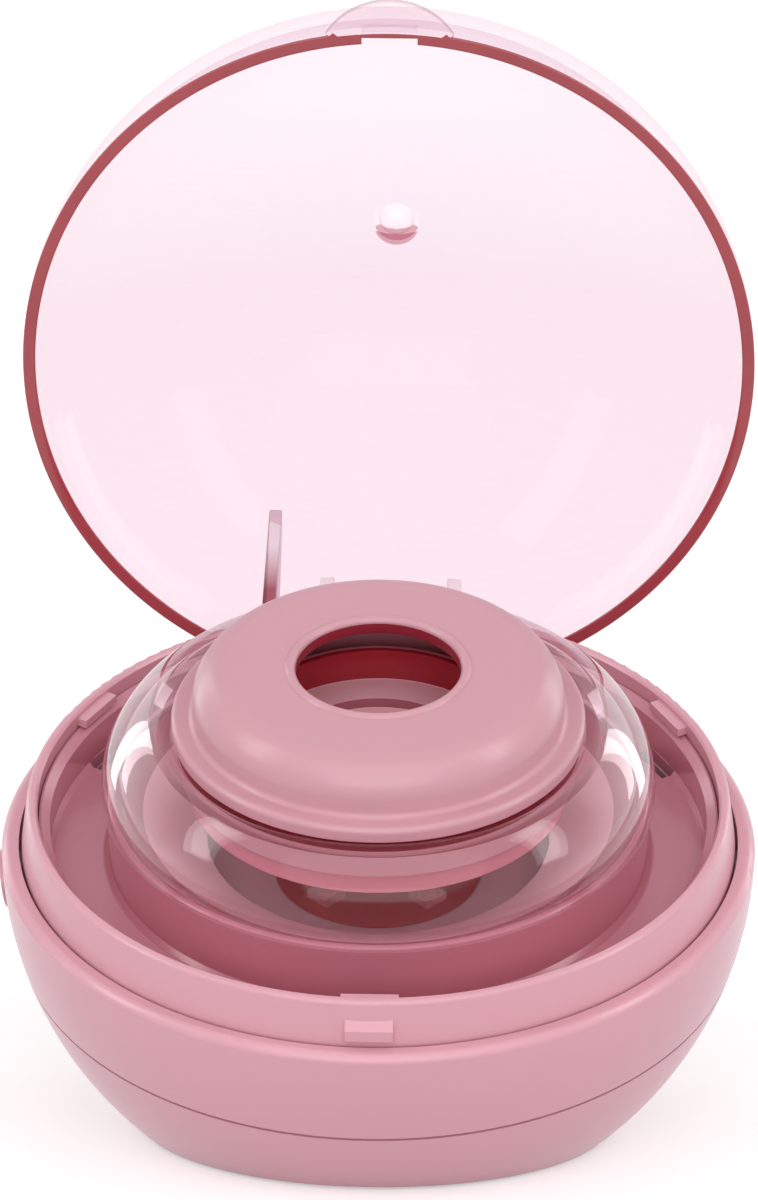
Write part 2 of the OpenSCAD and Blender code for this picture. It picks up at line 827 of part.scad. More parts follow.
module usb_socket() {
    usb_back_y = usb_mouth_y - usb_l;
    color(steel)
        difference() {
            usb_mouth(0, usb_back_y, usb_mouth_y);
            usb_mouth(-0.35, usb_back_y + 1, far);
        }
    color(near_black)
        span([-3.3, usb_back_y + 0.5, usb_z - 0.35], [3.3, usb_mouth_y - 1.2, usb_z + 0.35]);
}

module battery() {
    color([0.75, 0.76, 0.78])
        span([-battery_w / 2, -battery_l / 2 + 3, cavity_floor_z + foam_t],
             [battery_w / 2, battery_l / 2 + 3, cavity_floor_z + foam_t + battery_t]);
}

module battery_foam() {
    color(near_black)
        span([-battery_w / 2 + 1, -battery_l / 2 + 4, cavity_floor_z],
             [battery_w / 2 - 1, battery_l / 2 + 2, cavity_floor_z + foam_t]);
}

module switch_board() {
    color(board_green) in_bowl()
        span([switch_board_x - switch_board_t, -6.9, -part_depth + 1], [switch_board_x, 6.9, ledge_z - 0.6]);
}

module button_switch() {
    color(near_black) in_bowl()
        union() {
            translate([tact_top_x, 0, button_z])
                rotate([0, 90, 0])
                    cylinder(h = 1, r = 1.5, $fn = 48);
            span([tact_top_x + 0.3, -3, button_z - 3],
                 [switch_board_x - switch_board_t, 3, button_z + 3]);
        }
}

module lid_switch() {
    color(near_black) in_bowl()
        union() {
            span([-tongue_x - lid_switch_w / 2, tongue_in_y + 0.3, ledge_z - 6.4],
                 [-tongue_x + lid_switch_w / 2, tongue_out_y, ledge_z - 1]);
            translate([-tongue_x, lid_switch_y, ledge_z - 1 - eps])
                cylinder(h = 0.8, r = 0.8, $fn = 32);
        }
}

module buzzer() {
    color(near_black) in_bowl()
        translate([buzzer_x, 0, buzzer_z])
            rotate([0, 90, 0])
                difference() {
                    cylinder(h = buzzer_t, r = buzzer_r, $fn = 64);
                    translate([0, 0, 1])
                        cylinder(h = buzzer_t, r = 1, $fn = 32);
                }
}

module power_button() {
    color(pink) in_bowl()
        union() {
            intersection() {
                translate([-far, 0, button_z])
                    rotate([0, 90, 0])
                        cylinder(h = far + button_flange_x + button_flange_t, r = button_r);
                sphere(r = ball_r + button_proud, $fn = 180);
            }
            intersection() {
                translate([button_flange_x, 0, button_z])
                    rotate([0, 90, 0])
                        cylinder(h = button_flange_t, r = button_r + 0.9);
                span([-far, -far, -far], [far, far, ledge_z - 0.3]);
            }
            translate([button_flange_x, 0, button_z])
                rotate([0, 90, 0])
                    cylinder(h = button_stem_x - button_flange_x, r = 1.3, $fn = 48);
        }
}

// Plate in the hinge's own plane, standing on X, from points given as [y, z].
module plate(x, t, points) {
    translate([x - t / 2, 0, 0])
        rotate([90, 0, 90])
            linear_extrude(t)
                polygon(points);
}

module lid() {
    tab_r = (tab_w * tab_w / 4 + (tab_out + 0.6) * (tab_out + 0.6)) / (2 * (tab_out + 0.6));
    color(clear_pink) in_bowl() opened()
        difference() {
            union() {
                translate([0, 0, lid_seat_gap])
                    difference() {
                        union() {
                            oval_dome(lid_out_r, lid_depth, lid_side_r);
                            // finger tab
                            translate([0, -lid_out_r - tab_out + tab_r, 0])
                                cylinder(h = tab_t, r = tab_r);
                        }
                        difference() {
                            translate([0, 0, -eps])
                                oval_dome(lid_in_r, lid_depth - lid_t, lid_side_r - lid_t);
                            // boss behind the dimple
                            translate([0, 0, lid_depth + dimple_rise])
                                sphere(r = dimple_r + lid_t);
                        }
                    }
                // ears and interlock tongue, trimmed to the lid's outside
                intersection() {
                    union() {
                        for (side = [-1, 1])
                            plate(side * ear_x, ear_t,
                                  [[hinge_y - ear_r, hinge_z], [hinge_y + ear_r, hinge_z],
                                   [hinge_y + ear_r, -0.4], [lid_out_r - 0.6, 0.4], [far, 0.4],
                                   [far, ear_top_z], [hinge_y - ear_r, ear_top_z]]);
                        plate(-tongue_x, tongue_t,
                              [[tongue_in_y, tongue_foot_z], [tongue_out_y, tongue_foot_z],
                               [tongue_out_y, 2], [tongue_out_y + 3, collar_h + 0.8], [far, collar_h + 0.8],
                               [far, tongue_top_z], [tongue_in_y, tongue_top_z]]);
                    }
                    union() {
                        translate([0, 0, lid_seat_gap])
                            oval_dome(lid_out_r - 0.3, lid_depth - 0.3, lid_side_r - 0.3);
                        translate([0, 0, bay_floor_z])
                            cylinder(h = 1 - bay_floor_z, r = lid_out_r - 0.3);
                    }
                }
                for (side = [-1, 1])
                    translate([side * ear_x - ear_t / 2, hinge_y, hinge_z])
                        rotate([0, 90, 0])
                            cylinder(h = ear_t, r = ear_r);
            }
            // pin bore through both ears
            translate([-far, hinge_y, hinge_z])
                rotate([0, 90, 0])
                    cylinder(h = 2 * far, r = pin_r + pin_gap, $fn = 64);
            // notch for the catch
            span([-notch_w / 2, -lid_in_r - notch_depth, -1], [notch_w / 2, -lid_in_r + 3, notch_h]);
            // dimple
            translate([0, 0, lid_depth + lid_seat_gap + dimple_rise])
                sphere(r = dimple_r);
        }
}

module holder_dome() {
    arc_x = dome_r - dome_bulge_r;
    foot_z = pedestal_h + touch;
    crease_z = dome_wide_h + sqrt(dome_bulge_r * dome_bulge_r - (crease_r - arc_x) * (crease_r - arc_x));
    seat_r = mouth_r + 0.9;
    color(clear) in_bowl()
        rotate_extrude($fn = 180)
            union() {
                difference() {
                    translate([arc_x, dome_wide_h])
                        circle(r = dome_bulge_r, $fn = 240);
                    translate([arc_x, dome_wide_h])
                        circle(r = dome_bulge_r - dome_t, $fn = 240);
                    square([crease_r, far]);
                    translate([0, -far + foot_z])
                        square([far, far]);
                }
                // annulus from the crease in to the cap's seat
                polygon([[crease_r - 0.05, crease_z - dome_t + 0.1],
                         [crease_r + 0.4, crease_z - dome_t + 0.1], [crease_r + 0.02, crease_z - 0.02],
                         [crease_r - 0.3, crease_z], [seat_r, seat_h], [mouth_r, seat_h],
                         [mouth_r, seat_h - dome_t], [seat_r, seat_h - dome_t]]);
                // locating edge inside the pedestal's rim
                polygon([[pedestal_r - 1.1, foot_z - 0.7], [pedestal_r - 1.1, foot_z],
                         [dome_r - 0.6, foot_z], [dome_r - 0.6, foot_z + 0.6],
                         [pedestal_r - 1.9, foot_z + 0.6], [pedestal_r - 1.9, foot_z - 0.7]]);
            }
}

module holder_cap() {
    skirt_r = mouth_r - skirt_gap;
    flange_z = seat_h + touch;
    lip_r = 0.7;
    valley_r = 0.8;
    color(pink) in_bowl()
        rotate_extrude($fn = 180)
            difference() {
                union() {
                    // skirt and flange
                    translate([hole_r + 3, skirt_h])
                        square([skirt_r - hole_r - 3, flange_z - skirt_h + 1]);
                    translate([hole_r + 3, flange_z])
                        square([flange_r - 0.6 - hole_r - 3, flange_t]);
                    translate([hole_r + 3, flange_z])
                        square([flange_r - hole_r - 3, flange_t - 0.7]);
                    translate([flange_r - 0.7, flange_z + flange_t - 0.7])
                        circle(r = 0.7, $fn = 48);
                    // shoulder and top
                    translate([hole_r, flange_z])
                        square([shoulder_r - hole_r, cap_h - shoulder_round - flange_z]);
                    translate([hole_r, flange_z])
                        square([shoulder_r - shoulder_round - hole_r, cap_h - flange_z]);
                    translate([shoulder_r - shoulder_round, cap_h - shoulder_round])
                        circle(r = shoulder_round, $fn = 96);
                    // fillet in the valley
                    difference() {
                        translate([hole_r + 3, flange_z])
                            square([shoulder_r + valley_r - hole_r - 3, flange_t + valley_r]);
                        translate([shoulder_r + valley_r, flange_z + flange_t + valley_r])
                            circle(r = valley_r, $fn = 48);
                    }
                    // raised lip round the hole
                    translate([hole_r + lip_r, cap_h - 0.3])
                        circle(r = lip_r, $fn = 48);
                }
                // hollow inside
                translate([0, skirt_h - 1])
                    square([skirt_r - 1, flange_z + 0.6 - skirt_h + 1]);
                translate([0, skirt_h - 1])
                    square([shoulder_r - cap_t, cap_h - shoulder_round - skirt_h + 1]);
                intersection() {
                    union() {
                        translate([shoulder_r - shoulder_round, cap_h - shoulder_round])
                            circle(r = shoulder_round - cap_t, $fn = 96);
                        square([shoulder_r - shoulder_round, cap_h - cap_t]);
                    }
                    square([far, far]);
                }
                square([hole_r, far]);
            }
}

module teat_cup() {
    sleeve_r = mouth_r - skirt_gap - 1 - slip;
    plate_t = 1.4;
    color(pink_dark) in_bowl()
        rotate_extrude($fn = 180)
            polygon([[cup_hole_r, cup_ledge_h - plate_t], [cup_hole_r, cup_ledge_h],
                     [cup_r, cup_ledge_h], [cup_r, cup_ledge_h + 4.3],
                     [cup_r + 1.2, cup_ledge_h + 4.3], [cup_r + 1.2, cup_ledge_h],
                     [sleeve_r - 1.2, cup_ledge_h], [sleeve_r - 1.2, seat_h - 0.6], [sleeve_r, seat_h - 0.6],
                     [sleeve_r, cup_foot_h], [sleeve_r - 1.2, cup_foot_h],
                     [sleeve_r - 1.2, cup_ledge_h - plate_t]]);
}

bottom_shell();
bowl_shell();
collar_ring();
inner_tray();
hinge_bracket();
hinge_pin();
foot_pad();
case_screws();
lamp_seal();
lamp_glass();
lamp_reflector();
uv_leds();
led_board();
lamp_carrier();
carrier_screws();
main_board();
board_screws();
usb_socket();
battery();
battery_foam();
switch_board();
button_switch();
lid_switch();
buzzer();
power_button();
lid();
holder_dome();
holder_cap();
teat_cup();
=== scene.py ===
"""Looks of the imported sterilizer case: moulded pink plastic, clear shells, a studio and a camera.

Lengths are in millimetres until they reach a mesh, a shader or a camera. The lamps' places and sizes
are in metres. The bowl's own frame has its Z along the tilted axis and its zero at the bowl's lip,
through the centre of the ball. The lid's own frame is the bowl's, turned with the lid about its pin.
"""

import math

import bmesh
import bpy
from mathutils import Matrix, Vector


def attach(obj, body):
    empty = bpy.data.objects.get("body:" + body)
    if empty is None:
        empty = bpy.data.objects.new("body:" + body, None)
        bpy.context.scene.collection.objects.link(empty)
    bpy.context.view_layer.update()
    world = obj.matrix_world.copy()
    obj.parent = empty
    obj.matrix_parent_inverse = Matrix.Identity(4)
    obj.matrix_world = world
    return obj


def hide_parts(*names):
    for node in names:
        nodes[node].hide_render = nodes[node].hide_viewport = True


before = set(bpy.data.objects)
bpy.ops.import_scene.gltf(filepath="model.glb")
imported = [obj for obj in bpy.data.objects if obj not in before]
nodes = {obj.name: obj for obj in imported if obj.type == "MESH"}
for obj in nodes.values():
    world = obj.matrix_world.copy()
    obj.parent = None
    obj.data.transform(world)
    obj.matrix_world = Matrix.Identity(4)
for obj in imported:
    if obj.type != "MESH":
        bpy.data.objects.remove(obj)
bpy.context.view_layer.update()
scene = bpy.context.scene

MM = 0.001
BALL_H = 37.7
TILT = math.radians(20)
LID_OPEN = math.radians(95.6)
HINGE_Y, HINGE_Z = 43.0, -3.7

ROW_FRAME = Matrix.Identity(4)
BOWL_FRAME = Matrix.Translation((0, 0, BALL_H)) @ Matrix.Rotation(TILT, 4, "X")
HINGE_POINT = Matrix.Translation((0, HINGE_Y, HINGE_Z))
LID_FRAME = BOWL_FRAME @ HINGE_POINT @ Matrix.Rotation(-LID_OPEN, 4, "X") @ HINGE_POINT.inverted()


# ---------------------------------------------------------------- camera

CAMERA_DOWN = math.radians(34.676)
CAMERA_YAW = math.radians(-1.473)
CAMERA_AWAY = 1300
CAMERA_LENS = 306.65
SENSOR = 36
AIM_DEPTH = -5.03
# how far the view's middle lies to the right of and above the aim, in units of 1/10216.4 radian
AIM_SHIFT = (0.7, 270.5)
AIM_UNIT = 10216.4


def add_camera():
    """Camera at the photograph's place; its axes are given in the bowl's frame."""
    down, yaw = CAMERA_DOWN, CAMERA_YAW
    turn = Matrix.Rotation(TILT, 3, "X")
    ahead = Vector((math.cos(down) * math.sin(yaw), math.cos(down) * math.cos(yaw), -math.sin(down)))
    above = Vector((math.sin(down) * math.sin(yaw), math.sin(down) * math.cos(yaw), math.cos(down)))
    right = Vector((math.cos(yaw), -math.sin(yaw), 0))
    ahead, above, right = turn @ ahead, turn @ above, turn @ right
    look = (ahead * AIM_UNIT + above * AIM_SHIFT[1] + right * AIM_SHIFT[0]).normalized()
    side = look.cross(above).normalized()
    data = bpy.data.cameras.new("camera")
    data.sensor_width = SENSOR
    data.lens = CAMERA_LENS
    camera = bpy.data.objects.new("camera", data)
    axes = Matrix((side, side.cross(look), -look)).transposed().to_4x4()
    place = (BOWL_FRAME @ Vector((0, 0, AIM_DEPTH)) - ahead * CAMERA_AWAY) * MM
    camera.matrix_world = Matrix.Translation(place) @ axes
    scene.collection.objects.link(camera)
    scene.camera = camera


add_camera()


# ---------------------------------------------------------------- meshes

RING_STEPS = 256
ROD_STEPS = 96
BORE_STEPS = 64
CORNER_STEPS = 6
FILLET_STEPS = 3
SIDE_STEPS, TOP_STEPS = 40, 56
ROD_FILLET = 0.2
SHARP_ANGLE = math.radians(32)
# a corner this close to straight or to a full turn back keeps its point
LEAST_TURN = 1e-3
# an outline's point this close to the axis is one vertex
ON_AXIS = 1e-4
# the most of a side that the fillet at one of its ends may take
SIDE_SHARE = 0.48


def corner(before, here, after, radius):
    """Points of a fillet at one corner of an outline, or the corner itself where the radius is 0."""
    start, point, end = Vector(before), Vector(here), Vector(after)
    back, on = (start - point).normalized(), (end - point).normalized()
    turn = back.angle(on)
    if radius <= 0 or turn < LEAST_TURN or turn > math.pi - LEAST_TURN:
        return [tuple(point)]
    reach = radius / math.tan(turn / 2)
    reach = min(reach, SIDE_SHARE * (start - point).length, SIDE_SHARE * (end - point).length)
    radius = reach * math.tan(turn / 2)
    centre = point + (back + on).normalized() * (radius / math.sin(turn / 2))
    first, last = point + back * reach - centre, point + on * reach - centre
    sweep = math.atan2(first.x * last.y - first.y * last.x, first.dot(last))
    turns = [sweep * k / CORNER_STEPS for k in range(CORNER_STEPS + 1)]
    return [tuple(centre + Matrix.Rotation(t, 2) @ first) for t in turns]


def rounded(outline):
    """Closed outline of (r, z, fillet) corners and plain (r, z) points turned into points."""
    points = []
    for k, (r, z, *fillet) in enumerate(outline):
        before, after = outline[k - 1][:2], outline[(k + 1) % len(outline)][:2]
        points += corner(before, (r, z), after, fillet[0] if fillet else 0)
    return points


def arc(centre, radius, start, end, steps):
    """Points (r, z) on an arc, with angles in degrees from the outward direction."""
    turns = [math.radians(start + (end - start) * k / steps) for k in range(steps + 1)]
    return [(centre[0] + radius * math.cos(t), centre[1] + radius * math.sin(t)) for t in turns]


def smooth(mesh):
    """Smooth shading, with hard edges kept sharp."""
    mesh.polygons.foreach_set("use_smooth", [True] * len(mesh.polygons))
    mesh.set_sharp_from_angle(angle=SHARP_ANGLE)


def mesh_object(name, bm, place=BOWL_FRAME):
    """Object in metres and in the row's frame, from a bmesh in millimetres."""
    bmesh.ops.recalc_face_normals(bm, faces=bm.faces)
    mesh = bpy.data.meshes.new(name)
    bm.to_mesh(mesh)
    bm.free()
    mesh.transform(Matrix.Scale(MM, 4) @ place)
    smooth(mesh)
    piece = bpy.data.objects.new(name, mesh)
    scene.collection.objects.link(piece)
    return piece


def lathe(name, points, place=BOWL_FRAME, steps=RING_STEPS):
    """Solid of revolution about the frame's Z, from a closed outline of (r, z) points."""
    bm = bmesh.new()
    turns = [2 * math.pi * k / steps for k in range(steps)]
    rings = []
    for r, z in points:
        if r < ON_AXIS:
            rings.append([bm.verts.new((0, 0, z))])
        else:
            rings.append([bm.verts.new((r * math.cos(t), r * math.sin(t), z)) for t in turns])
    for k, low in enumerate(rings):
        high = rings[(k + 1) % len(rings)]
        for i in range(steps):
            j = (i + 1) % steps
            loop = [low[i % len(low)], low[j % len(low)], high[j % len(high)], high[i % len(high)]]
            loop = list(dict.fromkeys(loop))
            if len(loop) > 2:
                bm.faces.new(loop)
    return mesh_object(name, bm, place)


def slab(name, points, x_low, x_high, place, fillet=0.0):
    """Plate across X from an outline of (y, z) points, with softened edges where it has a fillet."""
    bm = bmesh.new()
    face = bm.faces.new([bm.verts.new((x_low, y, z)) for y, z in points])
    out = bmesh.ops.extrude_face_region(bm, geom=[face])
    moved = [v for v in out["geom"] if isinstance(v, bmesh.types.BMVert)]
    bmesh.ops.translate(bm, verts=moved, vec=(x_high - x_low, 0, 0))
    bmesh.ops.recalc_face_normals(bm, faces=bm.faces)
    if fillet:
        bmesh.ops.bevel(
            bm, geom=bm.edges[:], offset=fillet, segments=FILLET_STEPS, affect="EDGES", profile=0.5)
    return mesh_object(name, bm, place)


def block(name, low, high, place):
    """Box between two corners."""
    outline = [(low[1], low[2]), (high[1], low[2]), (high[1], high[2]), (low[1], high[2])]
    return slab(name, outline, low[0], high[0], place)


def rod(name, centre, radius, low, high, place, steps=ROD_STEPS):
    """Cylinder along X between two stations, with softened ends."""
    outline = [(0, low), (radius, low, ROD_FILLET), (radius, high, ROD_FILLET), (0, high)]
    turn = Matrix.Translation(centre) @ Matrix.Rotation(math.pi / 2, 4, "Y")
    return lathe(name, rounded(outline), place @ turn, steps)


def boolean(target, tool, operation):
    """Joins, cuts or crosses two closed meshes, and removes the second."""
    modifier = target.modifiers.new("cut", "BOOLEAN")
    modifier.operation = operation
    modifier.solver = "MANIFOLD"
    modifier.object = tool
    mesh = bpy.data.meshes.new_from_object(target.evaluated_get(bpy.context.evaluated_depsgraph_get()))
    target.modifiers.clear()
    target.data = mesh
    bpy.data.objects.remove(tool)
    smooth(mesh)
    return target


def oval(radius, depth, side):
    """Outline from the rim to the pole of a dome whose sides curve more tightly than its top."""
    top = ((radius - side) ** 2 + depth ** 2 - side ** 2) / (2 * (depth - side))
    joint = math.degrees(math.atan2(top - depth, radius - side))
    points = arc((radius - side, 0), side, 0, joint, SIDE_STEPS)
    points += arc((0, depth - top), top, joint, 90, TOP_STEPS)[1:]
    return points


def raised(points, height):
    """The same outline, higher up."""
    return [(r, z + height, *fillet) for r, z, *fillet in points]


# ---------------------------------------------------------------- lid

LID_OUT = 47.2
LID_T = 1.6
LID_DEPTH = 44.3
LID_SIDE = 38.0
LID_SEAT = 0.15
RIM_FILLET = 0.35

# the tab stands TAB_OUT past the rim, and its round edge meets the rim TAB_ROOT further in
TAB_OUT, TAB_ROOT, TAB_W, TAB_T, TAB_FILLET = 4.0, 0.6, 16.3, 1.8, 0.5

EAR_X, EAR_T, EAR_R, EAR_TOP = 8.4, 1.9, 3.0, 18.16
# the ears' outer edge slants from this far below the lip's plane to this far above it, where it is
# this far inside the rim's outside
EAR_STEP, EAR_STEP_IN = 0.4, 0.6
PIN_BORE = 1.05

TONGUE_X, TONGUE_T = -15.4, 1.7
TONGUE_IN, TONGUE_OUT, TONGUE_FOOT, TONGUE_TOP = 32.6, 37.6, -3.0, 23.04
# the tongue's outer edge slants out by this length, between these heights
HEEL_L, HEEL_LOW, HEEL_HIGH = 3, 2, 6.8

PLATE_FILLET = 0.25
TRIM_INSET = 0.3

NOTCH_HALF_W, NOTCH_DEPTH, NOTCH_TOP = 3.55, 0.8, 4.4
DIMPLE_R, DIMPLE_RISE = 2.75, 1.6
BOSS_R = DIMPLE_R + LID_T
# degrees left out of the dimple's arcs where they meet the dome's, which softens the edge
DIMPLE_SOFT = 2
DIMPLE_STEPS = 16

# beyond every part of the lid, for outlines that are cut back afterwards
FAR = 60
BELOW_LID = -20


def lid_shell():
    """The lid's wall with its dimple: one outline, outside from the pole to the rim and back inside."""
    centre = (0, LID_DEPTH + DIMPLE_RISE)
    outer = oval(LID_OUT, LID_DEPTH, LID_SIDE)[::-1]
    inner = oval(LID_OUT - LID_T, LID_DEPTH - LID_T, LID_SIDE - LID_T)
    outer = [p for p in outer if math.dist(p, centre) > DIMPLE_R]
    inner = [p for p in inner if math.dist(p, centre) > BOSS_R]
    dimple_edge = math.degrees(math.atan2(outer[0][1] - centre[1], outer[0][0]))
    boss_edge = math.degrees(math.atan2(inner[-1][1] - centre[1], inner[-1][0]))
    dimple = arc(centre, DIMPLE_R, -90, dimple_edge - DIMPLE_SOFT, DIMPLE_STEPS)
    boss = arc(centre, BOSS_R, boss_edge - DIMPLE_SOFT, -90, DIMPLE_STEPS)
    outer[-1] = (*outer[-1], RIM_FILLET)
    inner[0] = (*inner[0], RIM_FILLET)
    dimple[0] = (0, dimple[0][1])
    boss[-1] = (0, boss[-1][1])
    return lathe("lid_body", rounded(raised(dimple + outer + inner + boss, LID_SEAT)), LID_FRAME)


def finger_tab():
    """Rounded tab outside the rim, cut back to the middle of the wall."""
    chord = TAB_OUT + TAB_ROOT
    radius = (TAB_W ** 2 / 4 + chord ** 2) / (2 * chord)
    place = LID_FRAME @ Matrix.Translation((0, -LID_OUT - TAB_OUT + radius, LID_SEAT))
    outline = [(0, 0), (radius, 0, TAB_FILLET), (radius, TAB_T, TAB_FILLET), (0, TAB_T)]
    tab = lathe("tab", rounded(outline), place)
    wall = LID_OUT - LID_T / 2
    below, above = -2, 4
    inside = lathe("cut", [(0, below), (wall, below), (wall, above), (0, above)], LID_FRAME)
    return boolean(tab, inside, "DIFFERENCE")


def lid_trim():
    """What the ears and the tongue may fill: the dome's outside, less a little, and a skirt below it."""
    radius = LID_OUT - TRIM_INSET
    dome = raised(oval(radius, LID_DEPTH - TRIM_INSET, LID_SIDE - TRIM_INSET), LID_SEAT)
    return lathe("trim", [(0, BELOW_LID), (radius, BELOW_LID)] + dome, LID_FRAME)


def hinge_ear(side):
    """One ear with its round eye, on the side -1 or 1."""
    near, out = HINGE_Y - EAR_R, HINGE_Y + EAR_R
    outline = [(near, HINGE_Z), (out, HINGE_Z), (out, -EAR_STEP), (LID_OUT - EAR_STEP_IN, EAR_STEP),
               (FAR, EAR_STEP), (FAR, EAR_TOP), (near, EAR_TOP)]
    low = side * EAR_X - EAR_T / 2
    ear = slab("ear", outline, low, low + EAR_T, LID_FRAME, PLATE_FILLET)
    boolean(ear, lid_trim(), "INTERSECT")
    eye = rod("eye", (0, HINGE_Y, HINGE_Z), EAR_R, low, low + EAR_T, LID_FRAME)
    return boolean(ear, eye, "UNION")


def interlock_tongue():
    """Upright blade that reaches through the tray to the lid switch when the lid is shut."""
    outline = [(TONGUE_IN, TONGUE_FOOT), (TONGUE_OUT, TONGUE_FOOT), (TONGUE_OUT, HEEL_LOW),
               (TONGUE_OUT + HEEL_L, HEEL_HIGH), (FAR, HEEL_HIGH), (FAR, TONGUE_TOP),
               (TONGUE_IN, TONGUE_TOP)]
    low, high = TONGUE_X - TONGUE_T / 2, TONGUE_X + TONGUE_T / 2
    blade = slab("tongue", outline, low, high, LID_FRAME, PLATE_FILLET)
    return boolean(blade, lid_trim(), "INTERSECT")


def build_lid():
    """Clear lid: shell, finger tab, hinge ears, tongue, the pin's bore and the catch's notch."""
    body = lid_shell()
    for fitting in (finger_tab(), hinge_ear(-1), hinge_ear(1), interlock_tongue()):
        boolean(body, fitting, "UNION")
    past_ears = 20
    bore = rod("bore", (0, HINGE_Y, HINGE_Z), PIN_BORE, -past_ears, past_ears, LID_FRAME, BORE_STEPS)
    boolean(body, bore, "DIFFERENCE")
    wall, below, inward = LID_T - LID_OUT, -1, 3
    low, high = (-NOTCH_HALF_W, wall - NOTCH_DEPTH, below), (NOTCH_HALF_W, wall + inward, NOTCH_TOP)
    boolean(body, block("notch", low, high, LID_FRAME), "DIFFERENCE")
    return body


# ---------------------------------------------------------------- clear dome

# centre and radius of the bulge's arc
DOME_ARC = (23.8, 8.4)
DOME_BULGE, DOME_T = 11.3, 1.5
DOME_FOOT, DOME_CREASE = 7.0, 28.8
# the cap's seat: its inner radius, its width and its height
DOME_MOUTH, DOME_SEAT_W, DOME_SEAT = 25.4, 0.9, 17.0
# the edge below the foot that keeps the dome on the tray's ring
SPIGOT_IN, SPIGOT_OUT, SPIGOT_FOOT, SPIGOT_TOP = 32.3, 33.1, 6.3, 7.6
DOME_STEPS = 56


def build_dome():
    """Clear dome: bulged wall, crease, sloped annulus with the cap's seat, and the locating edge."""
    inner = DOME_BULGE - DOME_T
    outer_foot = math.degrees(math.asin((DOME_FOOT - DOME_ARC[1]) / DOME_BULGE))
    outer_top = math.degrees(math.acos((DOME_CREASE - DOME_ARC[0]) / DOME_BULGE))
    inner_foot = math.degrees(math.asin((SPIGOT_TOP - DOME_ARC[1]) / inner))
    inner_top = math.degrees(math.acos((DOME_CREASE - DOME_ARC[0]) / inner))
    outer = arc(DOME_ARC, DOME_BULGE, outer_foot, outer_top, DOME_STEPS)
    wall = arc(DOME_ARC, inner, inner_top, inner_foot, DOME_STEPS)
    crease_z = outer[-1][1]
    seat_out, seat_foot = DOME_MOUTH + DOME_SEAT_W, DOME_SEAT - DOME_T
    outline = [(*outer[0], 0.2)] + outer[1:]
    outline += [(DOME_CREASE - 0.3, crease_z, 0.3), (seat_out, DOME_SEAT, 0.4),
                (DOME_MOUTH, DOME_SEAT, 0.2), (DOME_MOUTH, seat_foot, 0.2), (seat_out, seat_foot, 0.5)]
    outline += wall
    outline += [(SPIGOT_IN, SPIGOT_TOP, 0.1), (SPIGOT_IN, SPIGOT_FOOT, 0.15),
                (SPIGOT_OUT, SPIGOT_FOOT, 0.15), (SPIGOT_OUT, DOME_FOOT, 0.1)]
    return lathe("dome_body", rounded(outline))


# ---------------------------------------------------------------- cap

CAP_R, CAP_ROUND, CAP_TOP, CAP_WALL = 23.4, 4.6, 26.0, 1.9
SHOULDER_STEPS, SHOULDER_IN_STEPS = 40, 24
CAP_SEAT, FLANGE_R, FLANGE_T = 17.1, 26.1, 2.0
SKIRT_R, SKIRT_T, SKIRT_FOOT = 25.1, 1, 11.2
HOLE_R, HOLE_LIP = 10.4, 0.7
# the lip is a round bead, swept between these degrees, whose middle lies this far under the cap's top
LIP_FROM, LIP_TO, LIP_STEPS, LIP_UNDER = 180, 25, 14, 0.3
# height of the cap's underside over its seat, where the flange crosses to the skirt
FLANGE_IN_T = 0.6


def build_cap():
    """Cap with its skirt, flange, round shoulder and the raised lip of the teat hole."""
    centre = (CAP_R - CAP_ROUND, CAP_TOP - CAP_ROUND)
    bead, skirt_in = (HOLE_R + HOLE_LIP, CAP_TOP - LIP_UNDER), SKIRT_R - SKIRT_T
    flange_top, under = CAP_SEAT + FLANGE_T, CAP_SEAT + FLANGE_IN_T
    outline = [(HOLE_R, CAP_TOP - CAP_WALL, 0.35)]
    outline += arc(bead, HOLE_LIP, LIP_FROM, LIP_TO, LIP_STEPS)
    outline += [(HOLE_R + 2 * HOLE_LIP + 0.2, CAP_TOP, 0.3)]
    outline += arc(centre, CAP_ROUND, 90, 0, SHOULDER_STEPS)
    outline += [(CAP_R, flange_top, 0.8), (FLANGE_R, flange_top, 0.75), (FLANGE_R, CAP_SEAT, 0.25),
                (SKIRT_R, CAP_SEAT, 0.15), (SKIRT_R, SKIRT_FOOT, 0.3), (skirt_in, SKIRT_FOOT, 0.3),
                (skirt_in, under, 0.2), (CAP_R - CAP_WALL, under, 0.4)]
    outline += arc(centre, CAP_ROUND - CAP_WALL, 0, 90, SHOULDER_IN_STEPS)
    return lathe("cap_body", rounded(outline))


# ---------------------------------------------------------------- materials

def linear(*srgb):
    """Colour from 0-255 sRGB numbers."""
    return tuple(c / 12.92 if c <= 0.04045 else ((c + 0.055) / 1.055) ** 2.4
                 for c in (v / 255 for v in srgb)) + (1.0,)


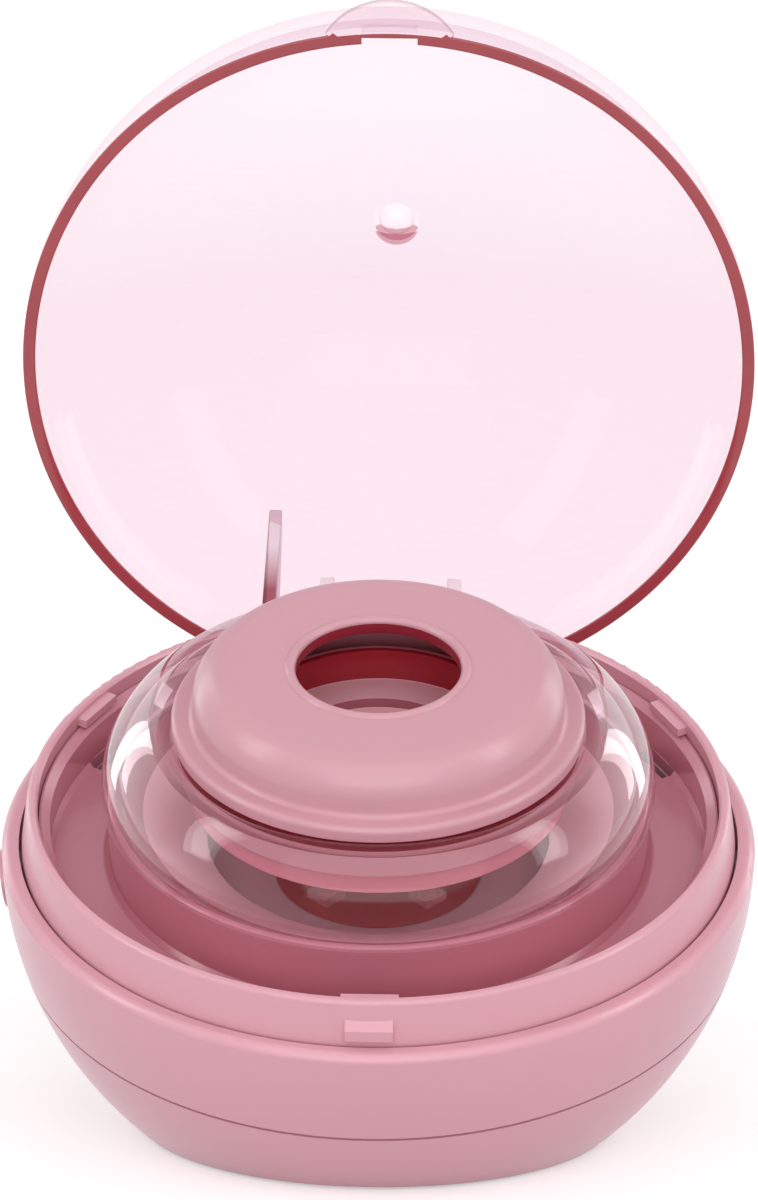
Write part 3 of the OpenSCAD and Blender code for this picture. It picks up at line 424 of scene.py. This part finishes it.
class Nodes:
    """Short calls for building the shader nodes of a material or a world."""

    def __init__(self, owner, output="ShaderNodeOutputMaterial"):
        self.owner = owner
        owner.use_nodes = True
        self.tree = owner.node_tree
        self.tree.nodes.clear()
        self.out = self.add(output)

    def put(self, socket, value):
        """Links another node's output to a socket, or sets the socket's own value."""
        if isinstance(value, bpy.types.NodeSocket):
            self.tree.links.new(value, socket)
        else:
            socket.default_value = value

    def add(self, kind, inputs=None, **settings):
        """New node with its inputs, by name or number, and its settings."""
        node = self.tree.nodes.new(kind)
        for key, value in settings.items():
            setattr(node, key, value)
        for key, value in (inputs or {}).items():
            self.put(node.inputs[key], value)
        return node

    def calc(self, operation, *values):
        """Result of a Math node."""
        return self.add("ShaderNodeMath", dict(enumerate(values)), operation=operation).outputs[0]

    def noise(self, scale, detail=3.0):
        """Noise that is fixed to the piece."""
        where = self.add("ShaderNodeTexCoord").outputs["Object"]
        inputs = {"Vector": where, "Scale": scale, "Detail": detail, "Roughness": 0.55}
        return self.add("ShaderNodeTexNoise", inputs).outputs["Fac"]

    def spread(self, value, low, high):
        """Noise turned into a range."""
        inputs = {"Value": value, "From Min": 0.15, "From Max": 0.85, "To Min": low, "To Max": high}
        return self.add("ShaderNodeMapRange", inputs).outputs["Result"]

    def within(self, place):
        """Reach from a frame's Z and height along it, in metres."""
        where = self.add("ShaderNodeTexCoord").outputs["Object"]
        back = place.inverted()
        inputs = {"Vector": where, "Location": back.translation * MM, "Rotation": back.to_euler()}
        spot = self.add("ShaderNodeMapping", inputs).outputs["Vector"]
        flat = self.add("ShaderNodeVectorMath", {0: spot, 1: (1, 1, 0)}, operation="MULTIPLY").outputs[0]
        reach = self.add("ShaderNodeVectorMath", {0: flat}, operation="LENGTH").outputs["Value"]
        return reach, self.add("ShaderNodeSeparateXYZ", {0: spot}).outputs["Z"]

    def between(self, value, low, high):
        """1 where a length in metres lies between two in millimetres, else 0."""
        return self.calc("COMPARE", value, (low + high) / 2 * MM, (high - low) / 2 * MM)

    def fade(self, value, low, high):
        """0 to 1 as a length in metres goes from one in millimetres to another."""
        inputs = {"Value": value, "From Min": low * MM, "From Max": high * MM}
        return self.add("ShaderNodeMapRange", inputs).outputs["Result"]

    def blend(self, factor, first, second):
        """Mix of two colours."""
        inputs = {0: factor, 6: first, 7: second}
        return self.add("ShaderNodeMix", inputs, data_type="RGBA").outputs[2]

    def mix(self, factor, first, second):
        """Mix of two shaders."""
        return self.add("ShaderNodeMixShader", {0: factor, 1: first, 2: second}).outputs["Shader"]

    def looked_at(self):
        """1 for rays that show something to the eye, and 0 for those that carry light to a surface."""
        path = self.add("ShaderNodeLightPath").outputs
        seen = self.calc("MAXIMUM", path["Is Camera Ray"], path["Is Glossy Ray"])
        return self.calc("MAXIMUM", seen, path["Is Transmission Ray"])

    def show(self, shader):
        """Links the surface, and returns the material or the world."""
        self.tree.links.new(shader, self.out.inputs["Surface"])
        return self.owner


def material_nodes(name):
    """The nodes of a new material."""
    return Nodes(bpy.data.materials.new(name))


EDGE_BEVEL = 0.15


def moulded(name, light, dark, rough, grain, coat=0.0, light_and_shade_zones=()):
    """Moulded plastic: faint flow variation, fine surface grain and rounded edges.

    A zone is two reaches and two heights in the bowl's frame, and the colour between them: painted light
    or painted shade on that part of the piece.
    """
    graph = material_nodes(name)
    flow = graph.noise(22, 1)
    fine = graph.noise(1500, 1)
    colour = graph.blend(graph.spread(flow, 0, 1), linear(*light), linear(*dark))
    for (near, far, low, high), other in light_and_shade_zones:
        reach, height = graph.within(BOWL_FRAME)
        mask = graph.calc("MULTIPLY", graph.between(reach, near, far), graph.between(height, low, high))
        colour = graph.blend(mask, colour, linear(*other))
    bevel = graph.add("ShaderNodeBevel", {"Radius": EDGE_BEVEL * MM}, samples=4).outputs["Normal"]
    bump = graph.add("ShaderNodeBump", {
        "Strength": grain, "Distance": 0.1 * MM, "Height": fine, "Normal": bevel})
    shader = graph.add("ShaderNodeBsdfPrincipled", {
        "Base Color": colour, "Roughness": graph.spread(graph.noise(40, 1), *rough),
        "Normal": bump.outputs["Normal"], "IOR": 1.5, "Coat Weight": coat, "Coat Roughness": 0.08})
    return graph.show(shader.outputs["BSDF"])


def tinted_edge(name, light, dark):
    """Cut edge of the clear lid, where the plastic's colour gathers."""
    graph = material_nodes(name)
    colour = graph.blend(graph.spread(graph.noise(60, 2), 0, 1), linear(*light), linear(*dark))
    shader = graph.add("ShaderNodeBsdfPrincipled", {
        "Base Color": colour, "Roughness": graph.spread(graph.noise(400, 2), 0.1, 0.18), "IOR": 1.5,
        "Coat Weight": 0.3})
    return graph.show(shader.outputs["BSDF"])


TINT_GROWTH = 2.5
CLEAR_ROUGH = (0.02, 0.05)
SHINE = (1, 0.97, 0.98, 1)
MOST_SHINE = 0.9


def clear_plastic(name, middle, rim, gloss, base=0.035, growth=4.5, fading=None):
    """Thin clear plastic: tinted more where it is seen edge on, with reflections that grow there.

    Fading is a frame, two heights in it and the middle's tint beyond the second one. Lamps shine
    through without the reflections' loss.
    """
    graph = material_nodes(name)
    if fading:
        place, low, high, beyond = fading
        middle = graph.blend(graph.fade(graph.within(place)[1], low, high), middle, beyond)
    bump = graph.add("ShaderNodeBump", {
        "Strength": 0.015, "Distance": 0.3 * MM, "Height": graph.noise(28, 2)}).outputs["Normal"]
    facing = graph.add("ShaderNodeLayerWeight", {"Blend": 0.5, "Normal": bump}).outputs["Facing"]
    tint = graph.blend(graph.calc("POWER", facing, TINT_GROWTH), middle, rim)
    clear = graph.add("ShaderNodeBsdfTransparent", {"Color": tint}).outputs["BSDF"]
    rough = graph.spread(graph.noise(180, 2), *CLEAR_ROUGH)
    shine = graph.add("ShaderNodeBsdfGlossy", {"Color": SHINE, "Roughness": rough, "Normal": bump})
    share = graph.add("ShaderNodeMapRange", {
        "Value": graph.calc("POWER", facing, growth), "To Min": base * gloss,
        "To Max": MOST_SHINE * gloss})
    surface = graph.mix(share.outputs["Result"], clear, shine.outputs["BSDF"])
    shadow = graph.add("ShaderNodeLightPath").outputs["Is Shadow Ray"]
    passing = graph.add("ShaderNodeBsdfTransparent", {"Color": tint if fading else middle})
    return graph.show(graph.mix(shadow, surface, passing.outputs["BSDF"]))


def metal(name, colour, rough):
    """Metal with a fine grain and slightly darker patches."""
    graph = material_nodes(name)
    fine = graph.noise(900, 4)
    bump = graph.add("ShaderNodeBump", {"Strength": 0.15, "Distance": 0.05 * MM, "Height": fine})
    worn = linear(*(c * 0.85 for c in colour))
    shader = graph.add("ShaderNodeBsdfPrincipled", {
        "Base Color": graph.blend(graph.spread(graph.noise(60), 0, 1), linear(*colour), worn),
        "Metallic": 1.0, "Roughness": graph.spread(fine, *rough), "Normal": bump.outputs["Normal"]})
    return graph.show(shader.outputs["BSDF"])


# places of painted light and painted shade: two reaches from the bowl's axis and two heights above its
# lip
# painted light: the funnel under the cap drawn lighter than the tray
FUNNEL_PAINTED_LIGHT = (0, 29.8, -10, 7.2)
# painted shade: the ring's outer wall drawn darker than the tray
RING_WALL_PAINTED_SHADE = (29.8, 35, -8, 6.2)
# painted shade: the cup's inner wall drawn dark red
CUP_INSIDE_PAINTED_SHADE = (15.9, 17, 13.5, 18)
# painted light: the cup's ledge drawn almost white where it faces up
CUP_LEDGE_PAINTED_LIGHT = (11.9, 16.5, 13.3, 13.5)

MATERIALS = {
    "housing": moulded("housing_plastic", (212, 155, 168), (209, 152, 165), (0.29, 0.34), 0.012, 0.2),
    "gloss": moulded("gloss_plastic", (200, 147, 158), (197, 144, 155), (0.3, 0.36), 0.008, 0.06),
    # painted shade: dark red for the shade inside the cap, whose plastic is the same pink throughout
    "cap_inside_shade": moulded("cap_inside_painted_shade", (204, 34, 56), (196, 30, 51), (0.29, 0.36), 0.008),
    # painted shade: the teat hole's wall drawn darker than the rest of the cap's inside
    "shade": moulded("hole_wall_painted_shade", (146, 36, 52), (138, 32, 47), (0.29, 0.36), 0.008),
    # painted light on the funnel and painted shade on the ring's outer wall
    "tray": moulded(
        "tray_plastic", (198, 132, 146), (195, 128, 143), (0.2, 0.26), 0.008, 0.12,
        light_and_shade_zones=[(FUNNEL_PAINTED_LIGHT, (236, 176, 190)), (RING_WALL_PAINTED_SHADE, (186, 112, 127))]),
    # painted shade on the cup's inner wall and painted light on its ledge
    "cup": moulded(
        "cup_plastic", (206, 132, 146), (202, 127, 141), (0.2, 0.26), 0.01,
        light_and_shade_zones=[(CUP_INSIDE_PAINTED_SHADE, (176, 30, 48)), (CUP_LEDGE_PAINTED_LIGHT, (255, 200, 214))]),
    "pad": moulded("pad_rubber", (176, 124, 134), (170, 118, 129), (0.6, 0.8), 0.12),
    "seal": moulded("seal_rubber", (186, 120, 132), (178, 112, 124), (0.5, 0.7), 0.05),
    "foam": moulded("foam", (52, 52, 56), (36, 36, 40), (0.8, 0.95), 0.8),
    "black": moulded("black_plastic", (38, 38, 41), (30, 30, 33), (0.35, 0.5), 0.1),
    "board": moulded("circuit_board", (28, 98, 66), (22, 82, 55), (0.3, 0.45), 0.1),
    "lamp_board": moulded("lamp_board", (196, 44, 60), (184, 36, 52), (0.29, 0.4), 0.1),
    "led": moulded("led_body", (226, 140, 150), (216, 128, 140), (0.2, 0.26), 0.05),
    "battery": moulded("battery_wrap", (186, 189, 194), (174, 177, 183), (0.29, 0.4), 0.1),
    "steel": metal("steel", (196, 198, 202), (0.29, 0.38)),
    # painted reflection: the reflector's mirror is drawn as light pink plastic, standing for what it
    # reflects
    "mirror": moulded("reflector_painted_reflection", (240, 196, 204), (234, 188, 197), (0.16, 0.22), 0.008),
    # painted light: the lid's tint lightens from 95 to 130 mm above the floor, its top drawn lighter
    "lid": clear_plastic(
        "clear_pink_lid", (0.932, 0.845, 0.89, 1), (0.94, 0.86, 0.89, 1), 0.35, base=0.01,
        fading=(ROW_FRAME, 95, 130, (0.99, 0.955, 0.98, 1))),
    "lid_thick": clear_plastic("thick_pink_lid", (0.97, 0.91, 0.93, 1), (0.5, 0.22, 0.27, 1), 0.7),
    "lid_dark": clear_plastic("shaded_pink_lid", (0.72, 0.42, 0.48, 1), (0.4, 0.14, 0.19, 1), 0.7),
    "lid_tongue": clear_plastic(
        "pink_tongue", (0.36, 0.08, 0.11, 1), (0.3, 0.08, 0.11, 1), 0.7,
        fading=(LID_FRAME, 0, 13, (0.95, 0.86, 0.89, 1))),
    "lid_edge": tinted_edge("tinted_lid_edge", (168, 62, 70), (148, 46, 56)),
    "dome": clear_plastic(
        "clear_dome", (0.99, 0.965, 0.972, 1), (0.95, 0.8, 0.83, 1), 1.0, base=0.012, growth=2.6),
    # painted shade: a dark red tint on the dome's cut edge stands for the shadow in the gap under the
    # cap's flange
    "dome_seat_shade": clear_plastic("dome_seat_painted_shade", (0.5, 0.12, 0.17, 1), (0.4, 0.1, 0.14, 1), 0.4, 0.01),
    "glass": clear_plastic("lamp_window", (0.97, 0.9, 0.92, 1), (0.9, 0.75, 0.78, 1), 0.3, 0.01),
}

NODE_MATERIALS = {
    "bottom_shell": "housing", "bowl_shell": "housing", "collar_ring": "housing",
    "hinge_bracket": "housing", "power_button": "housing", "holder_cap": "gloss",
    "inner_tray": "tray", "teat_cup": "cup", "lamp_carrier": "cup", "foot_pad": "pad",
    "case_screws": "steel", "carrier_screws": "steel", "board_screws": "steel", "hinge_pin": "steel",
    "usb_socket": "steel", "lamp_seal": "seal", "lamp_glass": "glass", "lamp_reflector": "mirror",
    "uv_leds": "led", "led_board": "lamp_board", "main_board": "board", "switch_board": "board",
    "battery": "battery", "battery_foam": "foam", "button_switch": "black", "lid_switch": "black",
    "buzzer": "black", "lid": "lid", "holder_dome": "dome",
}

for node_name, key in NODE_MATERIALS.items():
    node = nodes[node_name]
    smooth(node.data)
    for slot in node.material_slots:
        slot.material = MATERIALS[key]


# ---------------------------------------------------------------- faces with a material of their own

# slack around a face's place in the tests below
CLOSE = 0.1
# the lid's dimple lies above this height
DIMPLE_LOW = LID_DEPTH - LID_T - 2
# the dimple's dark part starts at this share of its radius
SHADE_FROM = 0.35


def tint_faces(piece, key, place, test):
    """Gives another material to the faces that pass a test of x, y, z and reach in a frame."""
    piece.data.materials.append(MATERIALS[key])
    index = len(piece.data.materials) - 1
    back = place.inverted() @ Matrix.Scale(1 / MM, 4)
    for face in piece.data.polygons:
        spot = back @ face.center
        if test(*spot, math.hypot(spot.x, spot.y)):
            face.material_index = index


def lid_inside(z):
    """Radius of the lid's inner wall at a height."""
    side = LID_SIDE - LID_T
    return LID_OUT - LID_SIDE + math.sqrt(max(side ** 2 - z ** 2, 0))


def is_thick(x, y, z, reach):
    """The dimple, the finger tab, the ears and the tongue of the lid."""
    dimple = z > DIMPLE_LOW and reach < BOSS_R - 1
    outside = reach > LID_OUT + CLOSE / 2 or z < LID_SEAT - CLOSE
    blade = y > TONGUE_IN - CLOSE and z < TONGUE_TOP + CLOSE and reach < lid_inside(z) - 1.5 * CLOSE
    return dimple or outside or blade


def is_dimple_shade(x, y, z, reach):
    """The part of the dimple that turns away from the light when the lid stands open."""
    return z > DIMPLE_LOW and reach < DIMPLE_R + 2 * CLOSE and y > SHADE_FROM * DIMPLE_R


def is_tongue(x, y, z, reach):
    """The interlock tongue."""
    return abs(x - TONGUE_X) < TONGUE_T and y > 0 and is_thick(x, y, z, reach)


def is_rim(x, y, z, reach):
    """The lid's cut edge."""
    low, high = LID_SEAT - CLOSE, LID_SEAT + 3 * CLOSE
    return low < z < high and LID_OUT - LID_T - 2 * CLOSE < reach < LID_OUT + CLOSE


def is_cap_inside(x, y, z, reach):
    """The cap's inner wall and the underside of its top, drawn dark red as painted shade."""
    return z < CAP_TOP - CAP_WALL + CLOSE and reach < CAP_R - CAP_WALL + CLOSE


def is_hole_wall(x, y, z, reach):
    """The wall of the teat hole, under its lip, drawn darker still as painted shade."""
    low, high = CAP_TOP - CAP_WALL - CLOSE / 2, CAP_TOP - 2.5 * CLOSE
    return low < z < high and reach < HOLE_R + 2 * CLOSE


def is_dome_seat(x, y, z, reach):
    """The dome's cut edge at the cap's seat, tinted dark red as painted shade: the shadow in the gap
    under the cap's flange.
    """
    return reach < DOME_MOUTH + 3 * CLOSE and z > DOME_SEAT - DOME_T - 5 * CLOSE


def dress(piece, body, key, node_name):
    """Gives a new piece its material and its body, and hides the CAD node that it stands for."""
    piece.data.materials.clear()
    piece.data.materials.append(MATERIALS[key])
    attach(piece, body)
    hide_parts(node_name)


lid = build_lid()
dress(lid, "lid", "lid", "lid")
tint_faces(lid, "lid_thick", LID_FRAME, is_thick)
tint_faces(lid, "lid_dark", LID_FRAME, is_dimple_shade)
tint_faces(lid, "lid_tongue", LID_FRAME, is_tongue)
tint_faces(lid, "lid_edge", LID_FRAME, is_rim)

dome = build_dome()
dress(dome, "holder", "dome", "holder_dome")
# painted shade in the gap under the cap's flange
tint_faces(dome, "dome_seat_shade", BOWL_FRAME, is_dome_seat)

cap = build_cap()
dress(cap, "cap", "gloss", "holder_cap")
# painted shade inside the cap
tint_faces(cap, "cap_inside_shade", BOWL_FRAME, is_cap_inside)
# painted shade on the teat hole's wall
tint_faces(cap, "shade", BOWL_FRAME, is_hole_wall)


# ---------------------------------------------------------------- studio

# each softbox: its place, its width and height in metres, and its power in watts
SOFTBOXES = {
    "softbox_left": ((-1.1, -0.35, 0.75), (0.3, 1.1), 5),
    "softbox_right": ((1.1, -0.35, 0.75), (0.3, 1.1), 5),
    "softbox_top": ((0, 0.1, 1.6), (1.2, 1.2), 1.0),
    "softbox_front": ((0, -1.6, 0.25), (1.6, 0.5), 4.4),
    "rim_left": ((-0.85, 0.85, 0.5), (0.22, 1.0), 1.9),
    "rim_right": ((0.85, 0.85, 0.5), (0.22, 1.0), 1.9),
}
SOFTBOX_AIM = (0, 0, 0.05)
SUN_FROM = (0.1, -1.5, 0.9)
SUN_STRENGTH = 1.1
SUN_ANGLE = math.radians(70)

PAPER_R, PAPER_T, PAPER_STEPS = 4000, 10, 64
PAPER_GREY = (0.69, 0.73)
# what the paper gives off to the eye alone, so that it reads as white around the part's shadow
PAPER_GLOW = 0.44
WORLD_FILL = 0.43


def add_lamp(name, data, place, target):
    """Lamp at a place, turned to a target."""
    lamp = bpy.data.objects.new(name, data)
    turn = (Vector(target) - Vector(place)).to_track_quat("-Z", "Y").to_matrix().to_4x4()
    lamp.matrix_world = Matrix.Translation(place) @ turn
    scene.collection.objects.link(lamp)


def add_lamps():
    """Softboxes at the sides, above, in front and behind, and a wide sun from the front."""
    for name, (place, size, watts) in SOFTBOXES.items():
        data = bpy.data.lights.new(name, "AREA")
        data.shape = "RECTANGLE"
        data.size, data.size_y = size
        data.energy = watts
        add_lamp(name, data, place, SOFTBOX_AIM)
    sun = bpy.data.lights.new("daylight", "SUN")
    sun.energy = SUN_STRENGTH
    sun.angle = SUN_ANGLE
    add_lamp("daylight", sun, SUN_FROM, (0, 0, 0))


def add_floor():
    """White paper that keeps the part's shadow."""
    outline = [(0, 0), (PAPER_R, 0), (PAPER_R, -PAPER_T), (0, -PAPER_T)]
    floor = lathe("floor", outline, ROW_FRAME, PAPER_STEPS)
    graph = material_nodes("floor_paper")
    grain = graph.spread(graph.noise(300, 3), *PAPER_GREY)
    matt = graph.add("ShaderNodeBsdfDiffuse", {"Color": grain}).outputs["BSDF"]
    level = graph.calc("MULTIPLY", graph.looked_at(), PAPER_GLOW)
    glow = graph.add("ShaderNodeEmission", {"Strength": level}).outputs["Emission"]
    both = graph.add("ShaderNodeAddShader", {0: matt, 1: glow})
    floor.data.materials.append(graph.show(both.outputs["Shader"]))


def add_world():
    """White to the eye and in reflections, and a dimmer fill for everything that it lights."""
    graph = Nodes(bpy.data.worlds.new("studio"), "ShaderNodeOutputWorld")
    level = graph.add("ShaderNodeMapRange", {
        "Value": graph.looked_at(), "To Min": WORLD_FILL, "To Max": 1.0}).outputs["Result"]
    sky = graph.add("ShaderNodeBackground", {"Color": (1, 1, 1, 1), "Strength": level})
    scene.world = graph.show(sky.outputs["Background"])


add_lamps()
add_floor()
add_world()
scene.view_settings.view_transform = "Standard"
